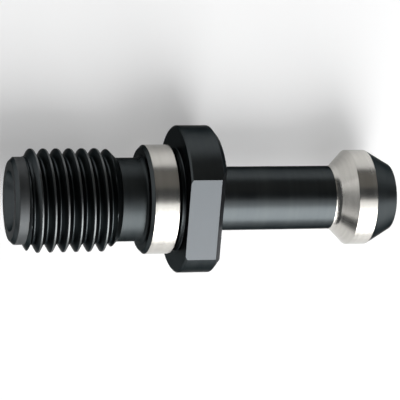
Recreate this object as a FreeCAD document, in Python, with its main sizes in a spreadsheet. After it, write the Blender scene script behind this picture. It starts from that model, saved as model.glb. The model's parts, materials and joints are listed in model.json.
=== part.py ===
"""Pull stud for a 40-size taper toolholder, turned from one bar and threaded M16.

The body is drawn about its own axis: x runs from the thread to the head, x = 0 is the seat
face that stops against the toolholder. Its placement then lays the finished stud on one of
its two wrench flats, +Z up, with the origin under the middle of its length.
All sizes are millimetres and angles are degrees.
"""

import FreeCAD, Part
import os

import Sketcher

NODE = "pull_stud"

# alias, value, meaning: the driving dimensions, all kept in the spreadsheet
SIZES = [
    ("thread_diameter", 16.0, "major diameter of the thread"),
    ("thread_pitch", 2.0, "pitch of the thread"),
    ("thread_depth", 1.227, "radial depth of the thread groove"),
    ("crest_width", 0.25, "flat left on each thread crest"),
    ("flank_angle", 30.0, "thread flank to a plane square to the axis"),
    ("groove_start", 1.65, "middle of the first groove, ahead of the thread's shoulder"),
    ("thread_side", 26.0, "seat face to the end of the thread"),
    ("point_diameter", 13.5, "plain point ahead of the thread"),
    ("point_length", 2.05, "length of the plain point"),
    ("point_chamfer", 0.6, "chamfer on the end of the point"),
    ("runout_length", 1.5, "45 degree slope behind the last thread"),
    ("relief_diameter", 13.0, "waist between thread and pilot"),
    ("relief_length", 4.0, "length of the waist"),
    ("relief_chamfer", 0.5, "slope between the waist and the pilot"),
    ("pilot_diameter", 17.0, "ground pilot that centres the stud"),
    ("pilot_length", 5.5, "seat face to the front of the pilot"),
    ("pilot_chamfer", 0.5, "lead chamfer of the pilot"),
    ("undercut_diameter", 16.0, "grinding undercut beside the seat"),
    ("undercut_width", 1.2, "width of the undercut"),
    ("undercut_slope", 0.5, "length of its sloping side"),
    ("flange_diameter", 23.0, "round flange that carries the flats"),
    ("flange_thickness", 6.0, "seat face to the back of the flange"),
    ("seat_chamfer", 0.3, "chamfer round the seat face"),
    ("back_chamfer", 0.9, "length of the chamfer on the back of the flange"),
    ("back_drop", 1.1, "radial drop of that chamfer"),
    ("flats_across", 19.0, "wrench flat to wrench flat"),
    ("flat_bevel", 1.2, "length of the bevel at the back of each flat"),
    ("flat_bevel_angle", 30.0, "that bevel to a plane square to the axis"),
    ("neck_diameter", 10.0, "neck between flange and head"),
    ("neck_fillet", 0.6, "blend of the neck into the flange"),
    ("head_diameter", 15.0, "ground land of the head"),
    ("gauge_length", 28.0, "seat face to the front edge of the land"),
    ("cone_angle", 45.0, "gripping cone to a plane square to the axis"),
    ("cone_fillet", 1.2, "blend of the neck into the gripping cone"),
    ("land_length", 3.0, "length of the ground land"),
    ("head_side", 35.0, "seat face to the tip of the head"),
    ("tip_diameter", 10.4, "flat on the tip of the head"),
    ("tip_chamfer", 0.25, "chamfer on the tip's edge"),
    ("centre_mouth", 9.6, "mouth of the centring cone in the thread end"),
    ("centre_angle", 45.0, "centring cone to the axis"),
    ("centre_bore", 5.0, "drilled hole behind the centring cone"),
    ("centre_depth", 9.0, "thread end to the full depth of that hole"),
    ("drill_angle", 59.0, "drill point to the axis"),
]

# heights of the turned outline, named once as expressions on the sheet
POINT_END = "-Sizes.thread_side"
THREAD_START = "-(Sizes.thread_side - Sizes.point_length)"
THREAD_END = "-(Sizes.pilot_length + Sizes.relief_length + Sizes.runout_length)"
RELIEF_START = "-(Sizes.pilot_length + Sizes.relief_length)"
PILOT_FRONT = "-Sizes.pilot_length"
PILOT_BACK = "-Sizes.undercut_width"
UNDERCUT_FLOOR = "-(Sizes.undercut_width - Sizes.undercut_slope)"
FLANGE_BACK = "Sizes.flange_thickness"
LAND_START = "Sizes.gauge_length"
LAND_END = "(Sizes.gauge_length + Sizes.land_length)"
TIP = "Sizes.head_side"
CONE_START = (
    "(Sizes.gauge_length - (Sizes.head_diameter - Sizes.neck_diameter) / 2"
    " * tan(Sizes.cone_angle))"
)
SHOULDER_END = (
    "(-(Sizes.thread_side - Sizes.point_length)"
    " + (Sizes.thread_diameter - Sizes.point_diameter) / 2 * tan(Sizes.flank_angle))"
)


def radius(alias):
    """Expression for half of a diameter kept in the sheet."""
    return f"Sizes.{alias} / 2"


def make_sheet(doc):
    """Write the driving dimensions into a spreadsheet, one aliased cell each."""
    sheet = doc.addObject("Spreadsheet::Sheet", "Sizes")
    for row, (alias, value, meaning) in enumerate(SIZES, start=1):
        sheet.set(f"A{row}", meaning)
        sheet.set(f"B{row}", str(value))
        sheet.setAlias(f"B{row}", alias)
    doc.recompute()
    return sheet


def origin_item(body, role):
    """A plane or axis of the body's own origin, found by its role."""
    return next(item for item in body.Origin.OriginFeatures if item.Role == role)


def new_sketch(body, name, plane_role):
    """An empty sketch on one of the body's origin planes."""
    sketch = body.newObject("Sketcher::SketchObject", name)
    sketch.AttachmentSupport = [(origin_item(body, plane_role), "")]
    sketch.MapMode = "FlatFace"
    return sketch


def draw_outline(sketch, corners):
    """Closed outline of straight sides whose corners are bound to expressions.

    corners holds (across, up) pairs of expressions in the sketch's own axes.
    """
    doc = sketch.Document
    count = len(corners)
    spots = [FreeCAD.Vector(evaluate(doc, across), evaluate(doc, up), 0) for across, up in corners]
    for here in range(count):
        sketch.addGeometry(Part.LineSegment(spots[here], spots[(here + 1) % count]), False)
    for here in range(count):
        sketch.addConstraint(Sketcher.Constraint("Coincident", here, 2, (here + 1) % count, 1))
    for here, (across, up) in enumerate(corners):
        for kind, expression, value in (("DistanceX", across, spots[here].x), ("DistanceY", up, spots[here].y)):
            index = sketch.addConstraint(Sketcher.Constraint(kind, -1, 1, here, 1, value))
            sketch.setExpression(f"Constraints[{index}]", expression)


def evaluate(doc, expression):
    """Present value of an expression on the sheet, as a plain number."""
    value = doc.getObject("Sizes").evalExpression(expression.replace("Sizes.", ""))
    return float(getattr(value, "Value", value))


def ring_edges(body, x_expression, r_expression):
    """Names of the circular edges of the body's tip at an axial place and radius."""
    doc = body.Document
    doc.recompute()
    place, size = evaluate(doc, x_expression), evaluate(doc, r_expression)
    names = []
    for number, edge in enumerate(body.Tip.Shape.Edges, start=1):
        if not isinstance(edge.Curve, Part.Circle):
            continue
        centre = edge.Curve.Center
        if abs(centre.x - place) < 1e-4 and abs(edge.Curve.Radius - size) < 1e-4:
            names.append(f"Edge{number}")
    if not names:
        raise RuntimeError(f"no round edge at x = {x_expression}, r = {r_expression}")
    return names


def dress_ring(body, kind, name, x_expression, r_expression, size_alias):
    """Fillet or chamfer on the round edge at an axial place and radius."""
    names = ring_edges(body, x_expression, r_expression)
    feature = body.newObject(f"PartDesign::{kind}", name)
    feature.Base = (feature.BaseFeature, names)
    feature.setExpression("Radius" if kind == "Fillet" else "Size", f"Sizes.{size_alias}")
    return feature


def turn_blank(body):
    """Revolve the turned outline, from the thread end to the tip, and break its edges."""
    sketch = new_sketch(body, "TurnedOutline", "XY_Plane")
    draw_outline(sketch, [
        (POINT_END, "0"),
        (POINT_END, radius("point_diameter")),
        (THREAD_START, radius("point_diameter")),
        (SHOULDER_END, radius("thread_diameter")),
        (THREAD_END, radius("thread_diameter")),
        (RELIEF_START, radius("relief_diameter")),
        (PILOT_FRONT, radius("relief_diameter")),
        (PILOT_FRONT, radius("pilot_diameter")),
        (PILOT_BACK, radius("pilot_diameter")),
        (UNDERCUT_FLOOR, radius("undercut_diameter")),
        ("0", radius("undercut_diameter")),
        ("0", radius("flange_diameter")),
        (f"{FLANGE_BACK} - Sizes.back_chamfer", radius("flange_diameter")),
        (FLANGE_BACK, f"{radius('flange_diameter')} - Sizes.back_drop"),
        (FLANGE_BACK, radius("neck_diameter")),
        (CONE_START, radius("neck_diameter")),
        (LAND_START, radius("head_diameter")),
        (LAND_END, radius("head_diameter")),
        (TIP, radius("tip_diameter")),
        (TIP, "0"),
    ])
    blank = body.newObject("PartDesign::Revolution", "TurnedBlank")
    blank.Profile = sketch
    blank.ReferenceAxis = (sketch, ["H_Axis"])
    blank.Angle = 360.0
    dress_ring(body, "Chamfer", "PointChamfer", POINT_END, radius("point_diameter"), "point_chamfer")
    dress_ring(body, "Chamfer", "PilotChamfer", PILOT_FRONT, radius("pilot_diameter"), "pilot_chamfer")
    dress_ring(body, "Chamfer", "SeatChamfer", "0", radius("flange_diameter"), "seat_chamfer")
    dress_ring(body, "Chamfer", "ReliefChamfer", PILOT_FRONT, radius("relief_diameter"), "relief_chamfer")
    dress_ring(body, "Fillet", "NeckFillet", FLANGE_BACK, radius("neck_diameter"), "neck_fillet")
    dress_ring(body, "Fillet", "ConeFillet", CONE_START, radius("neck_diameter"), "cone_fillet")
    dress_ring(body, "Chamfer", "TipChamfer", TIP, radius("tip_diameter"), "tip_chamfer")


def mill_flats(body):
    """Mill the two wrench flats off the flange, with a bevel at the back of each."""
    half = radius("flats_across")
    sketch = new_sketch(body, "FlatOutline", "XZ_Plane")
    draw_outline(sketch, [
        ("0", half),
        (FLANGE_BACK, half),
        (FLANGE_BACK, radius("flange_diameter")),
        ("0", radius("flange_diameter")),
    ])
    flat = cut_across(body, sketch, "WrenchFlat")
    bevel_sketch = new_sketch(body, "BevelOutline", "XZ_Plane")
    draw_outline(bevel_sketch, [
        (f"{FLANGE_BACK} - Sizes.flat_bevel", half),
        (FLANGE_BACK, f"{half} - Sizes.flat_bevel / tan(Sizes.flat_bevel_angle)"),
        (FLANGE_BACK, half),
    ])
    bevel = cut_across(body, bevel_sketch, "FlatBevel")
    mirror = body.newObject("PartDesign::Mirrored", "FarFlat")
    mirror.Originals = [flat, bevel]
    mirror.MirrorPlane = (origin_item(body, "XY_Plane"), [""])
    body.Tip = mirror


def cut_across(body, sketch, name):
    """Pocket a side-view outline right across the flange."""
    pocket = body.newObject("PartDesign::Pocket", name)
    pocket.Profile = sketch
    pocket.Midplane = True
    pocket.setExpression("Length", "Sizes.flange_diameter * 2")
    body.Document.recompute()
    return pocket


def drill_centre(body):
    """Centring cone and drilled hole in the thread end."""
    bore = radius("centre_bore")
    cone_depth = f"({radius('centre_mouth')} - {bore}) / tan(Sizes.centre_angle)"
    sketch = new_sketch(body, "CentreOutline", "XY_Plane")
    draw_outline(sketch, [
        (POINT_END, "0"),
        (POINT_END, radius("centre_mouth")),
        (f"{POINT_END} + {cone_depth}", bore),
        (f"{POINT_END} + Sizes.centre_depth", bore),
        (f"{POINT_END} + Sizes.centre_depth + {bore} / tan(Sizes.drill_angle)", "0"),
    ])
    hole = body.newObject("PartDesign::Groove", "CentreHole")
    hole.Profile = sketch
    hole.ReferenceAxis = (sketch, ["H_Axis"])
    hole.Angle = 360.0
    body.Document.recompute()


def cut_thread(body):
    """Cut the right-hand thread groove along a helix, clear of the metal at both ends."""
    crest = radius("thread_diameter")
    root = f"{crest} - Sizes.thread_depth"
    clear = "Sizes.crest_width / 4"
    half_mouth = "(Sizes.thread_pitch - Sizes.crest_width) / 2"
    half_top = f"({half_mouth} + {clear} * tan(Sizes.flank_angle))"
    half_root = f"({half_mouth} - Sizes.thread_depth * tan(Sizes.flank_angle))"
    start = f"({THREAD_START} - Sizes.groove_start)"
    sketch = new_sketch(body, "GrooveOutline", "XY_Plane")
    draw_outline(sketch, [
        (f"{start} - {half_top}", f"{crest} + {clear}"),
        (f"{start} - {half_root}", root),
        (f"{start} + {half_root}", root),
        (f"{start} + {half_top}", f"{crest} + {clear}"),
    ])
    groove = body.newObject("PartDesign::SubtractiveHelix", "ThreadGroove")
    groove.Profile = sketch
    groove.ReferenceAxis = (origin_item(body, "X_Axis"), [""])
    groove.Mode = 0
    groove.setExpression("Pitch", "Sizes.thread_pitch")
    groove.setExpression("Height", f"{RELIEF_START} - {start} + Sizes.thread_pitch")
    groove.LeftHanded = False
    groove.Reversed = False
    body.Document.recompute()
    return groove


def check_document(doc, body):
    """Stop with a plain message where a feature failed or the solid isn't sound."""
    failed = [item.Name for item in doc.Objects if {"Invalid", "Error"} & set(item.State)]
    if failed:
        raise RuntimeError("these objects failed: " + ", ".join(failed))
    shape = body.Shape
    if shape.isNull() or not shape.isValid() or len(shape.Solids) != 1:
        raise RuntimeError("the stud is not one sound solid")


def main():
    doc = FreeCAD.newDocument("PullStud")
    make_sheet(doc)
    body = doc.addObject("PartDesign::Body", "PullStud")
    body.Label = NODE
    turn_blank(body)
    mill_flats(body)
    drill_centre(body)
    cut_thread(body)
    body.setExpression("Placement.Base.x", "(Sizes.thread_side - Sizes.head_side) / 2")
    body.setExpression("Placement.Base.z", "Sizes.flats_across / 2")
    doc.recompute()
    check_document(doc, body)
    os.makedirs("parts", exist_ok=True)
    body.Shape.exportStep(os.path.join("parts", f"{body.Label}.step"))
    box = body.Shape.BoundBox
    print(f"{NODE}: volume {body.Shape.Volume:.1f}, x {box.XMin:.3f}..{box.XMax:.3f},"
          f" y {box.YMin:.3f}..{box.YMax:.3f}, z {box.ZMin:.3f}..{box.ZMax:.3f}")


main()
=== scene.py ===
"""Dresses the pull stud: one turned, threaded and black-oxided piece of steel.

The stud lies on one of its wrench flats. Its axis is along X, with the thread at -X and the
gripping head at +X. Lengths inside the classes are millimetres from the seat face along the
axis; they become metres in the finished mesh.
"""

import json
import logging
import math
from dataclasses import dataclass, field
from enum import Enum

import bmesh
import bpy
from bmesh.types import BMEdge, BMesh, BMFace, BMVert
from mathutils import Matrix, Vector

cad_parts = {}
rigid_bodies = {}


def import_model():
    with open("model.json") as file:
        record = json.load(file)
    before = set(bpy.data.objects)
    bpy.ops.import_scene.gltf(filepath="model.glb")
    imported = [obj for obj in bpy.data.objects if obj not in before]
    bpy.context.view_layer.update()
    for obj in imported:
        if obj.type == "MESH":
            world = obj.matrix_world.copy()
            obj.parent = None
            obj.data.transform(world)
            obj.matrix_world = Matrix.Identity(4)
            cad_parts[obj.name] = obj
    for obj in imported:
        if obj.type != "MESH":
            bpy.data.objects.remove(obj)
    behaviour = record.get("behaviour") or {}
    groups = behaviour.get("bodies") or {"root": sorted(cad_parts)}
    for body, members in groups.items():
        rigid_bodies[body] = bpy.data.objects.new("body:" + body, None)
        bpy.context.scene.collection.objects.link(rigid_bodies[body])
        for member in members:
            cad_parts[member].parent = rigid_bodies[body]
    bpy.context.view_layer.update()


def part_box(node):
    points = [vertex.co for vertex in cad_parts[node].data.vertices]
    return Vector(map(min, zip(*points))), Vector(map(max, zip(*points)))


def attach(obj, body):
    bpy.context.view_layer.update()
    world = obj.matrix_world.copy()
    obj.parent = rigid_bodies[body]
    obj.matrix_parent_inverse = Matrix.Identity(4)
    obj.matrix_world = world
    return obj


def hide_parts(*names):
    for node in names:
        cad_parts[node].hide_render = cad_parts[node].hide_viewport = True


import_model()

LOG = logging.getLogger("pull_stud")
NODE = "pull_stud"
MM = 0.001
FULL_TURN = 2 * math.pi
ARC_STEP = math.radians(14)
SHARP_ANGLE = math.radians(32)
MERGE_GAP = 2e-4
CUT_GAP = 1e-5
NOISE_RANGE = (0.3, 0.7)

Place = tuple[float, float, float]
Colour = tuple[float, float, float]
Value = bpy.types.NodeSocket | float


class Finish(Enum):
    """The finishes on the stud, in the order of its material slots."""

    BLACK_OXIDE = 0
    TURNED_BLACK = 1
    GROUND_STEEL = 2
    MILLED_FLAT = 3
    SCUFFED_POINT = 4
    # Lighter crests: partly wear of the oxide, partly a painted highlight along the crest lines.
    WORN_CREST = 5


@dataclass(frozen=True)
class StudSizes:
    """Lengths of the stud in millimetres and angles in degrees, from the seat face."""

    thread_diameter: float = 16.0
    thread_pitch: float = 2.0
    thread_depth: float = 1.227
    crest_width: float = 0.25
    flank_angle: float = 30.0
    groove_start: float = 1.65
    thread_side: float = 26.0
    point_diameter: float = 13.5
    point_length: float = 2.05
    point_chamfer: float = 0.6
    runout_length: float = 1.5
    relief_diameter: float = 13.0
    relief_length: float = 4.0
    relief_fillet: float = 0.6
    pilot_diameter: float = 17.0
    pilot_length: float = 5.5
    pilot_chamfer: float = 0.5
    undercut_diameter: float = 16.0
    undercut_width: float = 1.2
    undercut_slope: float = 0.5
    flange_diameter: float = 23.0
    flange_thickness: float = 6.0
    seat_chamfer: float = 0.3
    back_chamfer: float = 0.9
    back_drop: float = 1.1
    flats_across: float = 19.0
    flat_bevel: float = 1.2
    flat_bevel_angle: float = 30.0
    neck_diameter: float = 10.0
    neck_fillet: float = 0.6
    head_diameter: float = 15.0
    gauge_length: float = 28.0
    cone_angle: float = 45.0
    cone_fillet: float = 1.2
    land_length: float = 3.0
    head_side: float = 35.0
    tip_diameter: float = 10.4
    tip_round: float = 0.25
    centre_mouth: float = 9.6
    centre_bore: float = 5.0
    centre_depth: float = 9.0
    drill_angle: float = 59.0

    @property
    def thread_start(self) -> float:
        """Where the plain point ends and the thread's shoulder begins."""
        return self.point_length - self.thread_side

    @property
    def relief_start(self) -> float:
        """Where the thread's run-out meets the relief."""
        return -(self.pilot_length + self.relief_length)

    @property
    def thread_end(self) -> float:
        """Where the thread's run-out leaves the full diameter."""
        return self.relief_start - self.runout_length

    @property
    def cone_start(self) -> float:
        """Where the neck meets the gripping cone."""
        rise = (self.head_diameter - self.neck_diameter) / 2
        return self.gauge_length - rise * math.tan(math.radians(self.cone_angle))

    def envelope(self, place: float) -> float:
        """Radius of the threaded length before its groove is cut.

        Args:
            place: Distance from the seat face along the axis.

        Returns:
            The blank's radius there.
        """
        front = (place - self.thread_start) / math.tan(math.radians(self.flank_angle))
        fall = (self.thread_diameter - self.relief_diameter) / 2 / self.runout_length
        back = (self.relief_start - place) * fall
        return min(
            self.thread_diameter / 2,
            self.point_diameter / 2 + front,
            self.relief_diameter / 2 + back,
        )


@dataclass(frozen=True)
class EdgeBreaks:
    """Radii in millimetres that the sharp edges and corners are rounded to."""

    bore: float = 0.1
    hole_mouth: float = 0.12
    point: float = 0.15
    thread_crest: float = 0.07
    pilot_lead: float = 0.12
    pilot_land: float = 0.08
    undercut_lip: float = 0.06
    undercut_floor: float = 0.2
    flange: float = 0.1
    gripping_edge: float = 0.06
    land_end: float = 0.08


@dataclass(frozen=True)
class FinishLimits:
    """Lengths in millimetres that tell where one finish gives way to the next."""

    ground_before_cone: float = 0.45
    lighter_point_depth: float = 0.2
    # Depth under the crest that takes the lighter crest coat, which is partly wear and partly a
    # painted highlight.
    crest_wear_and_highlight_depth: float = 0.03


class Outline:
    """A half-section of a turned form, drawn as a wire in the plane of the axis and +Y."""

    def __init__(self, mesh: BMesh, hold: float = 0.03, shortest: float = 0.15) -> None:
        """Start with an empty outline.

        Args:
            mesh: The mesh that the wire is drawn in.
            hold: Distance of the holding vertices from the ends of a straight side.
            shortest: Length under which a side gets no holding vertices.
        """
        self.mesh = mesh
        self.hold = hold
        self.shortest = shortest
        self.pen: BMVert | None = None
        self.corners: list[tuple[BMVert, float]] = []

    def to(self, place: float, radius: float, rounding: float = 0.0) -> None:
        """Draw a straight side to the next corner, or set the first one.

        Args:
            place: Distance along the axis.
            radius: Distance from the axis.
            rounding: Radius of the corner, or none.
        """
        corner = self.mesh.verts.new((place, radius, 0.0))
        if self.pen is not None:
            self.mesh.edges.new((self.pen, corner))
        if rounding > 0:
            self.corners.append((corner, rounding))
        self.pen = corner

    def lift(self) -> None:
        """End this stretch of the wire, so that the next corner starts another."""
        self.pen = None

    def finish(self) -> None:
        """Round the corners, and hold the straight sides flat up to their roundings."""
        for corner, rounding in self.corners:
            self.round_corner(corner, rounding)
        for side in [edge for edge in self.mesh.edges if edge.calc_length() > self.shortest]:
            self.hold_side(side)

    def round_corner(self, corner: BMVert, rounding: float) -> None:
        """Replace a corner of the wire with an arc.

        Args:
            corner: The vertex between two sides.
            rounding: Radius of the arc.
        """
        arms = [edge.other_vert(corner).co - corner.co for edge in corner.link_edges]
        turn = math.pi - arms[0].angle(arms[1])
        segments = max(2, math.ceil(turn / ARC_STEP))
        bmesh.ops.bevel(
            self.mesh,
            geom=[corner],
            offset=rounding * math.tan(turn / 2),
            offset_type="OFFSET",
            segments=segments,
            profile=0.5,
            affect="VERTICES",
            material=-1,
        )

    def hold_side(self, side: BMEdge) -> None:
        """Add a vertex close to each end of a straight side.

        Args:
            side: The edge to hold.
        """
        share = self.hold / side.calc_length()
        start, end = side.verts
        middle = bmesh.utils.edge_split(side, start, share)[1]
        rest = next(edge for edge in middle.link_edges if edge.other_vert(middle) is end)
        bmesh.utils.edge_split(rest, end, share / (1 - share))


@dataclass
class PullStud:
    """The whole stud, turned, threaded and milled from one bar."""

    sizes: StudSizes = field(default_factory=StudSizes)
    breaks: EdgeBreaks = field(default_factory=EdgeBreaks)
    limits: FinishLimits = field(default_factory=FinishLimits)
    steps: int = 192
    seam_sides: int = 8
    flank_cuts: int = 7
    shortest_flank: float = 0.4
    axis_height: float = 0.0
    seat_place: float = 0.0

    def __post_init__(self) -> None:
        """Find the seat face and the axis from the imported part's box."""
        low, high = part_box(NODE)
        self.axis_height = (low[2] + high[2]) / 2
        self.seat_place = low[0] + self.sizes.thread_side * MM

    def build(self) -> bpy.types.Object:
        """Make the finished piece and ride it on the root body.

        Returns:
            The stud's object, with its finishes in its slots.
        """
        mesh = bmesh.new()
        self.turn_body(mesh)
        self.add_thread(mesh)
        bmesh.ops.remove_doubles(mesh, verts=mesh.verts[:], dist=MERGE_GAP)
        seams = [edge for edge in mesh.edges if edge.is_boundary]
        bmesh.ops.holes_fill(mesh, edges=seams, sides=self.seam_sides)
        self.mill_flats(mesh)
        bmesh.ops.dissolve_degenerate(mesh, dist=CUT_GAP, edges=mesh.edges[:])
        bmesh.ops.recalc_face_normals(mesh, faces=mesh.faces[:])
        self.assign_finishes(mesh)
        place = Matrix.Translation((self.seat_place, 0.0, self.axis_height))
        bmesh.ops.transform(mesh, matrix=place @ Matrix.Scale(MM, 4), verts=mesh.verts[:])
        open_edges = sum(1 for edge in mesh.edges if not edge.is_manifold)
        LOG.info("stud: %d faces, %d open edges", len(mesh.faces), open_edges)
        data = bpy.data.meshes.new("stud")
        mesh.to_mesh(data)
        mesh.free()
        data.shade_smooth()
        data.set_sharp_from_angle(angle=SHARP_ANGLE)
        piece = bpy.data.objects.new("stud", data)
        bpy.context.scene.collection.objects.link(piece)
        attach(piece, "root")
        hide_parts(NODE)
        return piece

    def turn_body(self, mesh: BMesh) -> None:
        """Spin the turned outline, except for the threaded length.

        Args:
            mesh: The empty mesh to turn the stud in.
        """
        size = self.sizes
        outline = Outline(mesh)
        self.draw_thread_end(outline)
        outline.lift()
        outline.to(size.relief_start, size.relief_diameter / 2)
        self.draw_pilot(outline)
        self.draw_flange(outline)
        self.draw_head(outline)
        outline.finish()
        bmesh.ops.spin(
            mesh,
            geom=mesh.verts[:] + mesh.edges[:],
            cent=(0, 0, 0),
            axis=(1, 0, 0),
            dvec=(0, 0, 0),
            angle=FULL_TURN,
            steps=self.steps,
            use_merge=True,
        )
        LOG.info("turned body: %d faces", len(mesh.faces))

    def draw_thread_end(self, outline: Outline) -> None:
        """Centre hole, end face and plain point, from the hole's floor outwards.

        Args:
            outline: The wire to draw on.
        """
        size, breaks = self.sizes, self.breaks
        end, bore = -size.thread_side, size.centre_bore / 2
        mouth, point = size.centre_mouth / 2, size.point_diameter / 2
        drill = bore / math.tan(math.radians(size.drill_angle))
        outline.to(end + size.centre_depth + drill, 0.0)
        outline.to(end + size.centre_depth, bore, breaks.bore)
        outline.to(end + mouth - bore, bore, breaks.bore)
        outline.to(end, mouth, breaks.hole_mouth)
        outline.to(end, point - size.point_chamfer, breaks.point)
        outline.to(end + size.point_chamfer, point, breaks.point)
        outline.to(size.thread_start, point)

    def draw_pilot(self, outline: Outline) -> None:
        """Relief, pilot and grinding undercut up to the seat face.

        Args:
            outline: The wire to draw on.
        """
        size, breaks = self.sizes, self.breaks
        lead, land, floor = size.pilot_chamfer, size.pilot_diameter / 2, size.undercut_diameter / 2
        outline.to(-size.pilot_length, size.relief_diameter / 2, size.relief_fillet)
        outline.to(-size.pilot_length, land - lead, breaks.pilot_lead)
        outline.to(lead - size.pilot_length, land, breaks.pilot_land)
        outline.to(-size.undercut_width, land, breaks.undercut_lip)
        outline.to(size.undercut_slope - size.undercut_width, floor, breaks.undercut_floor)
        outline.to(0.0, floor, breaks.undercut_floor)

    def draw_flange(self, outline: Outline) -> None:
        """Seat face, flange and the root of the neck.

        Args:
            outline: The wire to draw on.
        """
        size, soft = self.sizes, self.breaks.flange
        rim = size.flange_diameter / 2
        outline.to(0.0, rim - size.seat_chamfer, soft)
        outline.to(size.seat_chamfer, rim, soft)
        outline.to(size.flange_thickness - size.back_chamfer, rim, soft)
        outline.to(size.flange_thickness, rim - size.back_drop, soft)
        outline.to(size.flange_thickness, size.neck_diameter / 2, size.neck_fillet)

    def draw_head(self, outline: Outline) -> None:
        """Gripping cone, land, rear cone and tip.

        Args:
            outline: The wire to draw on.
        """
        size, breaks = self.sizes, self.breaks
        land_end = size.gauge_length + size.land_length
        outline.to(size.cone_start, size.neck_diameter / 2, size.cone_fillet)
        outline.to(size.gauge_length, size.head_diameter / 2, breaks.gripping_edge)
        outline.to(land_end, size.head_diameter / 2, breaks.land_end)
        outline.to(size.head_side, size.tip_diameter / 2, size.tip_round)
        outline.to(size.head_side, 0.0)

    def add_thread(self, mesh: BMesh) -> None:
        """Wind one pitch of thread along its helix and stitch it into the blank.

        Args:
            mesh: The turned body, open between the point and the relief.
        """
        size = self.sizes
        turn = self.wind_one_turn()
        thread = bmesh.new()
        first = size.thread_start - size.groove_start - size.thread_pitch / 2
        for count in range(math.ceil((size.relief_start - first) / size.thread_pitch)):
            known = len(thread.verts)
            thread.from_mesh(turn)
            thread.verts.ensure_lookup_table()
            step = Vector((count * size.thread_pitch, 0.0, 0.0))
            bmesh.ops.translate(thread, verts=thread.verts[known:], vec=step)
        bpy.data.meshes.remove(turn)
        for vert in thread.verts:
            self.trim_to_blank(vert)
        bmesh.ops.remove_doubles(thread, verts=thread.verts[:], dist=MERGE_GAP)
        data = bpy.data.meshes.new("thread")
        thread.to_mesh(data)
        thread.free()
        mesh.from_mesh(data)
        bpy.data.meshes.remove(data)

    def wind_one_turn(self) -> bpy.types.Mesh:
        """Wind one pitch of the thread's section once round the axis.

        Returns:
            A mesh whose end meets its own start, one pitch further on.
        """
        size = self.sizes
        thread = bmesh.new()
        self.draw_one_pitch(thread)
        bmesh.ops.spin(
            thread,
            geom=thread.verts[:] + thread.edges[:],
            cent=(0, 0, 0),
            axis=(1, 0, 0),
            dvec=(size.thread_pitch / self.steps, 0, 0),
            angle=FULL_TURN,
            steps=self.steps,
            use_merge=False,
        )
        data = bpy.data.meshes.new("one turn")
        thread.to_mesh(data)
        thread.free()
        return data

    def draw_one_pitch(self, thread: BMesh) -> None:
        """One pitch of the thread's section, from crest middle to crest middle.

        Args:
            thread: The empty mesh to draw it in.
        """
        size, soft = self.sizes, self.breaks.thread_crest
        crest, root = size.thread_diameter / 2, size.thread_diameter / 2 - size.thread_depth
        flank = math.radians(size.flank_angle)
        middle = size.thread_start - size.groove_start
        half_mouth = (size.thread_pitch - size.crest_width) / 2
        apex = crest - half_mouth / math.tan(flank)
        # The bevel's middle lies 2 - sqrt(2) of its reach nearer to the axis than its ends do.
        reach = (root - apex) / ((2 - math.sqrt(2)) * math.cos(flank))
        outline = Outline(thread, hold=0.02, shortest=self.shortest_flank)
        outline.to(middle - size.thread_pitch / 2, crest)
        outline.to(middle - half_mouth, crest, soft)
        outline.to(middle, apex, reach * math.tan(flank))
        outline.to(middle + half_mouth, crest, soft)
        outline.to(middle + size.thread_pitch / 2, crest)
        outline.finish()
        flanks = [edge for edge in thread.edges if edge.calc_length() > self.shortest_flank]
        bmesh.ops.subdivide_edges(thread, edges=flanks, cuts=self.flank_cuts)

    def trim_to_blank(self, vert: BMVert) -> None:
        """Bring a thread vertex inside the turned blank.

        Args:
            vert: A vertex of the wound thread.
        """
        size = self.sizes
        place = min(max(vert.co.x, size.thread_start), size.relief_start)
        radius = math.hypot(vert.co.y, vert.co.z)
        scale = min(radius, size.envelope(place)) / radius
        vert.co = Vector((place, vert.co.y * scale, vert.co.z * scale))

    def mill_flats(self, mesh: BMesh) -> None:
        """Mill the two flats and their bevels off the flange.

        Args:
            mesh: The closed, threaded body.
        """
        size = self.sizes
        half = size.flats_across / 2
        lean = math.radians(size.flat_bevel_angle)
        for side in (1, -1):
            self.mill(mesh, (0, 0, side * half), (0, 0, side))
            start = size.flange_thickness - size.flat_bevel
            self.mill(mesh, (start, 0, side * half), (math.cos(lean), 0, side * math.sin(lean)))

    def mill(self, mesh: BMesh, point: Place, outward: Place) -> None:
        """Cut the flange along a plane, and close the cut with one flat face.

        Args:
            mesh: The body to cut.
            point: A point on the plane.
            outward: The plane's normal, towards the metal that goes.
        """
        flange = [face for face in mesh.faces if all(map(self.in_flange, face.verts))]
        parts = [part for face in flange for part in (face, *face.verts, *face.edges)]
        cut = bmesh.ops.bisect_plane(
            mesh,
            geom=list(dict.fromkeys(parts)),
            dist=CUT_GAP,
            plane_co=point,
            plane_no=outward,
            clear_outer=True,
            clear_inner=False,
        )
        rim = [item for item in cut["geom_cut"] if isinstance(item, BMEdge) and item.is_boundary]
        made = bmesh.ops.edgeloop_fill(mesh, edges=rim, mat_nr=Finish.MILLED_FLAT.value)
        for face in made["faces"]:
            face.material_index = Finish.MILLED_FLAT.value

    def in_flange(self, vert: BMVert) -> bool:
        """Tell whether a vertex belongs to the flange, with its faces and its rim.

        Args:
            vert: A vertex of the body.

        Returns:
            Whether a mill that cuts the flats may reach it.
        """
        size, slack = self.sizes, 1e-3
        inner = size.neck_diameter / 2 + size.neck_fillet - 10 * slack
        within = -slack <= vert.co.x <= size.flange_thickness + slack
        return within and math.hypot(vert.co.y, vert.co.z) > inner

    def assign_finishes(self, mesh: BMesh) -> None:
        """Give each face the finish that its operation left.

        Args:
            mesh: The finished body, with the milled faces already marked.
        """
        for face in mesh.faces:
            if face.material_index != Finish.MILLED_FLAT.value:
                face.material_index = self.finish_of(face).value

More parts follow.
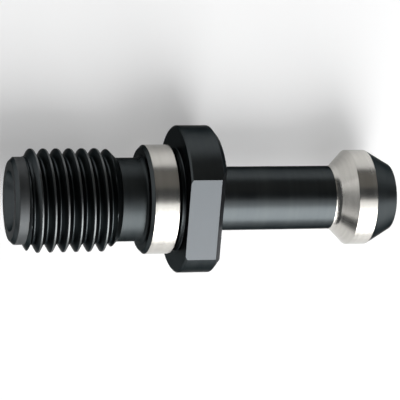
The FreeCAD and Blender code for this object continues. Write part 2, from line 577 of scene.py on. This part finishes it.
    def finish_of(self, face: BMFace) -> Finish:
        """Finish of a turned or ground face.

        Args:
            face: The face to look at.

        Returns:
            The finish that covers it.
        """
        size, limits = self.sizes, self.limits
        middle = face.calc_center_median()
        place, radius = middle.x, math.hypot(middle.y, middle.z)
        land_end = size.gauge_length + size.land_length
        lead = size.pilot_chamfer - size.pilot_length
        if lead < place < -size.undercut_width and radius > size.undercut_diameter / 2:
            return Finish.GROUND_STEEL
        if size.cone_start - limits.ground_before_cone < place < land_end:
            return Finish.GROUND_STEEL
        # The plain point and its chamfer take a lighter, rougher coat than the black oxide.
        if place < size.thread_start and radius > size.point_diameter / 2 - limits.lighter_point_depth:
            return Finish.SCUFFED_POINT
        # Full crests take a lighter coat: partly wear, partly a painted highlight along the crest
        # lines.
        if place < size.thread_end and radius > size.thread_diameter / 2 - limits.crest_wear_and_highlight_depth:
            return Finish.WORN_CREST
        if size.relief_start < place < -size.pilot_length:
            return Finish.TURNED_BLACK
        return Finish.BLACK_OXIDE


class Nodes:
    """Short ways to place and join nodes in one tree."""

    def __init__(self, tree: bpy.types.NodeTree) -> None:
        """Keep the tree.

        Args:
            tree: The node tree to build in.
        """
        self.tree = tree

    def add(self, kind: str, **settings) -> bpy.types.Node:
        """Add a node and set its own properties.

        Args:
            kind: The node's type name.
            **settings: Properties of the node by name.

        Returns:
            The new node.
        """
        node = self.tree.nodes.new(kind)
        for name, value in settings.items():
            setattr(node, name, value)
        return node

    def math(
        self, operation: str, first: Value, second: Value = 0.0, third: Value = 0.0
    ) -> bpy.types.NodeSocket:
        """Add a Math node.

        Args:
            operation: What it does.
            first: A socket or a number.
            second: A socket or a number.
            third: A socket or a number.

        Returns:
            Its value.
        """
        node = self.add("ShaderNodeMath", operation=operation)
        for index, value in enumerate((first, second, third)):
            self.feed(value, node.inputs[index])
        return node.outputs[0]

    def spread(
        self, value: Value, low: float, high: float, start: float = 0.0, end: float = 1.0
    ) -> bpy.types.NodeSocket:
        """Map a value from one range to another, without leaving it.

        Args:
            value: The socket to map.
            low: Where the incoming range starts.
            high: Where the incoming range ends.
            start: What low becomes.
            end: What high becomes.

        Returns:
            The mapped value.
        """
        node = self.add("ShaderNodeMapRange")
        given = {"Value": value, "From Min": low, "From Max": high, "To Min": start, "To Max": end}
        for name, part in given.items():
            self.feed(part, node.inputs[name])
        return node.outputs["Result"]

    def blend(
        self, amount: Value, first: Value | Colour, second: Value | Colour
    ) -> bpy.types.NodeSocket:
        """Mix two colours.

        Args:
            amount: The share of the second, as a socket or a number.
            first: A colour or a socket.
            second: A colour or a socket.

        Returns:
            The mixed colour.
        """
        node = self.add("ShaderNodeMix", data_type="RGBA")
        self.feed(amount, node.inputs[0])
        self.feed(first, node.inputs[6])
        self.feed(second, node.inputs[7])
        return node.outputs[2]

    def feed(self, value: Value | Colour, socket: bpy.types.NodeSocket) -> None:
        """Link a socket or set a plain value.

        Args:
            value: What goes in.
            socket: Where it goes.
        """
        if isinstance(value, bpy.types.NodeSocket):
            self.tree.links.new(value, socket)
        elif isinstance(value, tuple) and len(value) == 3 and socket.type == "RGBA":
            socket.default_value = (*value, 1.0)
        else:
            socket.default_value = value


class Effect:
    """A node group with named inputs and outputs, shared by the finishes."""

    def __init__(
        self, name: str, inputs: dict[str, float | None], outputs: tuple[str, ...]
    ) -> None:
        """Make the empty group.

        Args:
            name: The group's name.
            inputs: Input names with their default numbers, or None for a vector.
            outputs: Names of the outputs, all plain values.
        """
        self.tree = bpy.data.node_groups.new(name, "ShaderNodeTree")
        for label, value in inputs.items():
            kind = "NodeSocketVector" if value is None else "NodeSocketFloat"
            socket = self.tree.interface.new_socket(label, in_out="INPUT", socket_type=kind)
            if value is not None:
                socket.default_value = value
        for label in outputs:
            self.tree.interface.new_socket(label, in_out="OUTPUT", socket_type="NodeSocketFloat")
        self.nodes = Nodes(self.tree)
        self.given = self.nodes.add("NodeGroupInput").outputs
        self.result = self.nodes.add("NodeGroupOutput").inputs


class Effects:
    """The effects that several finishes use."""

    def __init__(self) -> None:
        """Build each group once."""
        self.rings = self.make_rings()
        self.mottle = self.make_mottle()

    @staticmethod
    def make_rings() -> bpy.types.NodeTree:
        """Tool marks that run round the axis, on cylinders, cones and end faces alike.

        Returns:
            The group. Its inputs are Place, in millimetres from the seat and the axis, Pitch,
            the width of one mark, and Waver, how fast a mark changes on its way round.
        """
        inputs = {"Place": None, "Pitch": 0.1, "Waver": 0.3}
        effect = Effect("ToolRings", inputs, ("Marks", "Bands"))
        nodes, given = effect.nodes, effect.given
        split = nodes.add("ShaderNodeSeparateXYZ")
        nodes.feed(given["Place"], split.inputs[0])
        axial, level, upright = (split.outputs[axis] for axis in "XYZ")
        square = nodes.math("MULTIPLY", level, level)
        radius = nodes.math("SQRT", nodes.math("MULTIPLY_ADD", upright, upright, square))
        along = nodes.math("DIVIDE", nodes.math("ADD", axial, radius), given["Pitch"])
        place = nodes.add("ShaderNodeCombineXYZ")
        nodes.feed(along, place.inputs["X"])
        nodes.feed(nodes.math("MULTIPLY", level, given["Waver"]), place.inputs["Y"])
        nodes.feed(nodes.math("MULTIPLY", upright, given["Waver"]), place.inputs["Z"])
        for label, scale, detail in (("Marks", 1.0, 2.0), ("Bands", 0.12, 3.0)):
            noise = nodes.add("ShaderNodeTexNoise")
            noise.inputs["Scale"].default_value = scale
            noise.inputs["Detail"].default_value = detail
            nodes.feed(place.outputs[0], noise.inputs["Vector"])
            nodes.feed(noise.outputs["Fac"], effect.result[label])
        return effect.tree

    @staticmethod
    def make_mottle() -> bpy.types.NodeTree:
        """Cloudy variation of a coat.

        Returns:
            The group. Its inputs are Place, in millimetres, and Size, the clouds' width.
        """
        effect = Effect("Mottle", {"Place": None, "Size": 3.0}, ("Clouds",))
        nodes, given = effect.nodes, effect.given
        noise = nodes.add("ShaderNodeTexNoise")
        noise.inputs["Detail"].default_value = 4.0
        nodes.feed(nodes.math("DIVIDE", 1.0, given["Size"]), noise.inputs["Scale"])
        nodes.feed(given["Place"], noise.inputs["Vector"])
        nodes.feed(noise.outputs["Fac"], effect.result["Clouds"])
        return effect.tree


@dataclass(frozen=True)
class Coat:
    """One finish on the steel: its reflected colours, gloss and tool marks.

    Attributes:
        name: The material's name.
        dark: Colour where the coat is thin or closely marked.
        light: Colour where it is even.
        rough_low: Roughness of the glossiest places.
        rough_high: Roughness of the dullest places.
        edge_tint: Brightness of grazing reflections, as a share of white.
        pitch: Width of one tool mark, in millimetres.
        waver: How fast a tool mark changes on its way round, per millimetre.
        relief: Height of the tool marks, in millimetres.
        cloud: Width of the coat's clouds, in millimetres.
    """

    name: str
    dark: Colour
    light: Colour
    rough_low: float
    rough_high: float
    edge_tint: float
    pitch: float
    waver: float
    relief: float
    cloud: float

    def material(self, effects: Effects, seat: float, axis_height: float) -> bpy.types.Material:
        """Make the finish as a procedural material.

        Args:
            effects: The shared node groups.
            seat: Place of the seat face along X, in metres.
            axis_height: Height of the stud's axis, in metres.

        Returns:
            The material.
        """
        made = bpy.data.materials.new(self.name)
        made.use_nodes = True
        nodes = Nodes(made.node_tree)
        shader = made.node_tree.nodes["Principled BSDF"]
        where = nodes.add("ShaderNodeTexCoord")
        centred = nodes.add("ShaderNodeMapping", vector_type="POINT")
        centred.inputs["Location"].default_value = (-seat / MM, 0.0, -axis_height / MM)
        centred.inputs["Scale"].default_value = (1 / MM,) * 3
        nodes.feed(where.outputs["Object"], centred.inputs["Vector"])
        rings = nodes.add("ShaderNodeGroup", node_tree=effects.rings)
        nodes.feed(centred.outputs[0], rings.inputs["Place"])
        rings.inputs["Pitch"].default_value = self.pitch
        rings.inputs["Waver"].default_value = self.waver
        mottle = nodes.add("ShaderNodeGroup", node_tree=effects.mottle)
        nodes.feed(centred.outputs[0], mottle.inputs["Place"])
        mottle.inputs["Size"].default_value = self.cloud
        patches = nodes.spread(mottle.outputs["Clouds"], *NOISE_RANGE)
        streaks = nodes.spread(rings.outputs["Bands"], *NOISE_RANGE)
        mixed = nodes.math("MULTIPLY_ADD", streaks, 0.5, nodes.math("MULTIPLY", patches, 0.5))
        nodes.feed(nodes.blend(mixed, self.dark, self.light), shader.inputs["Base Color"])
        gloss = nodes.spread(mixed, 0.0, 1.0, self.rough_low, self.rough_high)
        nodes.feed(gloss, shader.inputs["Roughness"])
        bump = nodes.add("ShaderNodeBump")
        bump.inputs["Strength"].default_value = 1.0
        bump.inputs["Distance"].default_value = self.relief * MM
        nodes.feed(rings.outputs["Marks"], bump.inputs["Height"])
        nodes.feed(bump.outputs[0], shader.inputs["Normal"])
        shader.inputs["Metallic"].default_value = 1.0
        shader.inputs["Specular Tint"].default_value = (self.edge_tint,) * 3 + (1.0,)
        return made


COATS = {
    Finish.BLACK_OXIDE: Coat(
        name="black oxide",
        dark=(0.046, 0.052, 0.055),
        light=(0.062, 0.069, 0.071),
        rough_low=0.28,
        rough_high=0.37,
        edge_tint=0.3,
        pitch=0.12,
        waver=0.25,
        relief=0.0008,
        cloud=4.0,
    ),
    Finish.TURNED_BLACK: Coat(
        name="black oxide over turned marks",
        dark=(0.036, 0.042, 0.044),
        light=(0.062, 0.068, 0.07),
        rough_low=0.38,
        rough_high=0.48,
        edge_tint=0.3,
        pitch=0.16,
        waver=0.25,
        relief=0.0022,
        cloud=3.0,
    ),
    Finish.GROUND_STEEL: Coat(
        name="ground steel",
        dark=(0.46, 0.445, 0.415),
        light=(0.6, 0.585, 0.55),
        rough_low=0.2,
        rough_high=0.29,
        edge_tint=0.9,
        pitch=0.06,
        waver=0.6,
        relief=0.0004,
        cloud=5.0,
    ),
    Finish.MILLED_FLAT: Coat(
        name="black oxide over milled flat",
        dark=(0.073, 0.079, 0.084),
        light=(0.084, 0.09, 0.095),
        rough_low=0.34,
        rough_high=0.4,
        edge_tint=0.4,
        pitch=0.2,
        waver=0.6,
        relief=0.0004,
        cloud=3.0,
    ),
    # Lighter, rougher coat on the plain point.
    Finish.SCUFFED_POINT: Coat(
        name="lighter point",
        dark=(0.07, 0.075, 0.078),
        light=(0.12, 0.125, 0.127),
        rough_low=0.5,
        rough_high=0.6,
        edge_tint=0.6,
        pitch=0.14,
        waver=0.25,
        relief=0.0015,
        cloud=2.5,
    ),
    # Lighter crest coat: partly wear of the black oxide, partly a painted highlight that stands in
    # for the bright crest lines.
    Finish.WORN_CREST: Coat(
        name="black oxide with wear and painted highlight at the crests",
        dark=(0.1, 0.107, 0.108),
        light=(0.15, 0.158, 0.158),
        rough_low=0.3,
        rough_high=0.4,
        edge_tint=0.5,
        pitch=0.12,
        waver=0.25,
        relief=0.0006,
        cloud=2.0,
    ),
}


@dataclass(frozen=True)
class Softbox:
    """A rectangular studio lamp aimed at the stud.

    Attributes:
        name: The lamp's name.
        lean: Degrees from overhead towards -Y, negative towards +Y.
        along: Degrees from the plane across the axis towards +X.
        width: Size along the stud, in metres.
        height: Size in the direction of the lean, in metres.
        radiance: Brightness of its face, where 1 is white.
        colour: Its colour.
        distance: Distance from the stud, in metres.
    """

    name: str
    lean: float
    along: float
    width: float
    height: float
    radiance: float
    colour: Colour = (1.0, 1.0, 1.0)
    distance: float = 0.5

    def place(self, target: Vector) -> None:
        """Hang the lamp round the stud's axis.

        Args:
            target: The point that it faces.
        """
        lamp = bpy.data.lights.new(self.name, "AREA")
        lamp.shape = "RECTANGLE"
        lamp.size = self.width
        lamp.size_y = self.height
        lamp.energy = self.radiance * math.pi * self.width * self.height
        lamp.color = self.colour
        lean, along = math.radians(self.lean), math.radians(self.along)
        overhead = Vector((0.0, -math.sin(lean), math.cos(lean)))
        sideways = Vector((0.0, math.cos(lean), math.sin(lean)))
        out = Vector((math.sin(along), 0.0, 0.0)) + math.cos(along) * overhead
        across = sideways.cross(out).normalized()
        turned = Matrix((across, out.cross(across), out)).transposed().to_4x4()
        holder = bpy.data.objects.new(self.name, lamp)
        holder.matrix_world = Matrix.Translation(target + out * self.distance) @ turned
        bpy.context.scene.collection.objects.link(holder)


SOFTBOXES = (
    Softbox("long softbox", lean=38.0, along=15.0, width=0.34, height=1.10, radiance=1.8),
    Softbox("softbox core", lean=42.0, along=15.0, width=0.34, height=0.50, radiance=4.2),
    Softbox("thread end card", lean=-12.0, along=-80.0, width=0.16, height=0.7, radiance=1.1),
    Softbox("head end lamp", lean=62.0, along=66.0, width=0.3, height=0.35, radiance=2.4),
    Softbox(
        "warm card", lean=-62.0, along=15.0, width=0.34, height=0.34, radiance=0.13,
        colour=(1.0, 0.93, 0.82),
    ),
)


@dataclass
class Studio:
    """Floor, lamps and camera round the stud.

    Attributes:
        axis_height: Height of the stud's axis, in metres.
        aim: The point that the camera looks at, in millimetres.
        distance: The camera's distance from it, in millimetres.
        lens: Focal length for the sensor's width, in millimetres.
        sensor: Width of the sensor, in millimetres.
        lean: Degrees that the camera leans from overhead towards +Y.
        swing: Degrees that it swings towards -X.
        roll: Degrees that it rolls.
        floor_size: Half of the floor's width, in metres.
        floor_shade: The floor's own colour.
        floor_glow: What it glows for the camera and in reflections, which makes up white.
        room_colour: Colour of the room's light.
        room_strength: Strength of the room's light.
    """

    axis_height: float
    aim: Place = (-0.34, -0.20, 9.57)
    distance: float = 322.6
    lens: float = 185.55
    sensor: float = 36.0
    lean: float = 20.5
    swing: float = 14.77
    roll: float = 0.69
    floor_size: float = 1.5
    floor_shade: float = 0.65
    floor_glow: float = 0.35
    room_colour: Colour = (0.9, 0.95, 1.0)
    room_strength: float = 0.06

    def place_camera(self) -> None:
        """Look down on the stud from its +Y side, with +Y up in the frame."""
        lean, swing, roll = (math.radians(v) for v in (self.lean, self.swing, self.roll))
        above = Vector((0.0, math.sin(lean), math.cos(lean)))
        upwards = Vector((0.0, math.cos(lean), -math.sin(lean)))
        along = Vector((1.0, 0.0, 0.0))
        back = above * math.cos(swing) - along * math.sin(swing)
        right = along * math.cos(swing) + above * math.sin(swing)
        tilted_right = right * math.cos(roll) - upwards * math.sin(roll)
        tilted_up = right * math.sin(roll) + upwards * math.cos(roll)
        camera = bpy.data.objects.new("camera", bpy.data.cameras.new("camera"))
        camera.data.lens = self.lens
        camera.data.sensor_width = self.sensor
        camera.data.clip_start = 0.01
        camera.data.clip_end = 10.0
        turned = Matrix((tilted_right, tilted_up, back)).transposed().to_4x4()
        spot = (Vector(self.aim) + back * self.distance) * MM
        camera.matrix_world = Matrix.Translation(spot) @ turned
        bpy.context.scene.collection.objects.link(camera)
        bpy.context.scene.camera = camera

    def lay_floor(self) -> None:
        """Lay a wide pale floor under the stud."""
        mesh = bmesh.new()
        bmesh.ops.create_grid(mesh, x_segments=2, y_segments=2, size=self.floor_size)
        data = bpy.data.meshes.new("floor")
        mesh.to_mesh(data)
        mesh.free()
        floor = bpy.data.objects.new("floor", data)
        paint = bpy.data.materials.new("pale floor")
        paint.use_nodes = True
        shader = paint.node_tree.nodes["Principled BSDF"]
        shader.inputs["Base Color"].default_value = (self.floor_shade,) * 3 + (1.0,)
        shader.inputs["Roughness"].default_value = 0.9
        shader.inputs["Emission Color"].default_value = (1.0, 1.0, 1.0, 1.0)
        nodes = Nodes(paint.node_tree)
        seen = nodes.add("ShaderNodeLightPath").outputs
        looked_at = nodes.math("MAXIMUM", seen["Is Camera Ray"], seen["Is Glossy Ray"])
        looked_at = nodes.math("MAXIMUM", looked_at, seen["Is Transmission Ray"])
        glow = nodes.math("MULTIPLY", looked_at, self.floor_glow)
        nodes.feed(glow, shader.inputs["Emission Strength"])
        data.materials.append(paint)
        bpy.context.scene.collection.objects.link(floor)

    def light(self) -> None:
        """Hang the softboxes and set the room's own light."""
        target = Vector((0.0, 0.0, self.axis_height))
        for box in SOFTBOXES:
            box.place(target)
        world = bpy.data.worlds.new("room")
        world.use_nodes = True
        shade = world.node_tree.nodes["Background"]
        shade.inputs["Color"].default_value = (*self.room_colour, 1.0)
        shade.inputs["Strength"].default_value = self.room_strength
        bpy.context.scene.world = world


def main() -> None:
    """Build the stud, then the studio."""
    logging.basicConfig(level=logging.INFO, format="%(name)s: %(message)s")
    bpy.context.scene.view_settings.view_transform = "Standard"
    stud = PullStud()
    studio = Studio(stud.axis_height)
    studio.place_camera()
    studio.lay_floor()
    studio.light()
    piece = stud.build()
    effects = Effects()
    for finish in Finish:
        coat = COATS[finish].material(effects, stud.seat_place, stud.axis_height)
        piece.data.materials.append(coat)
    LOG.info("stud dressed in %d finishes", len(piece.data.materials))


if __name__ == "__main__":
    main()
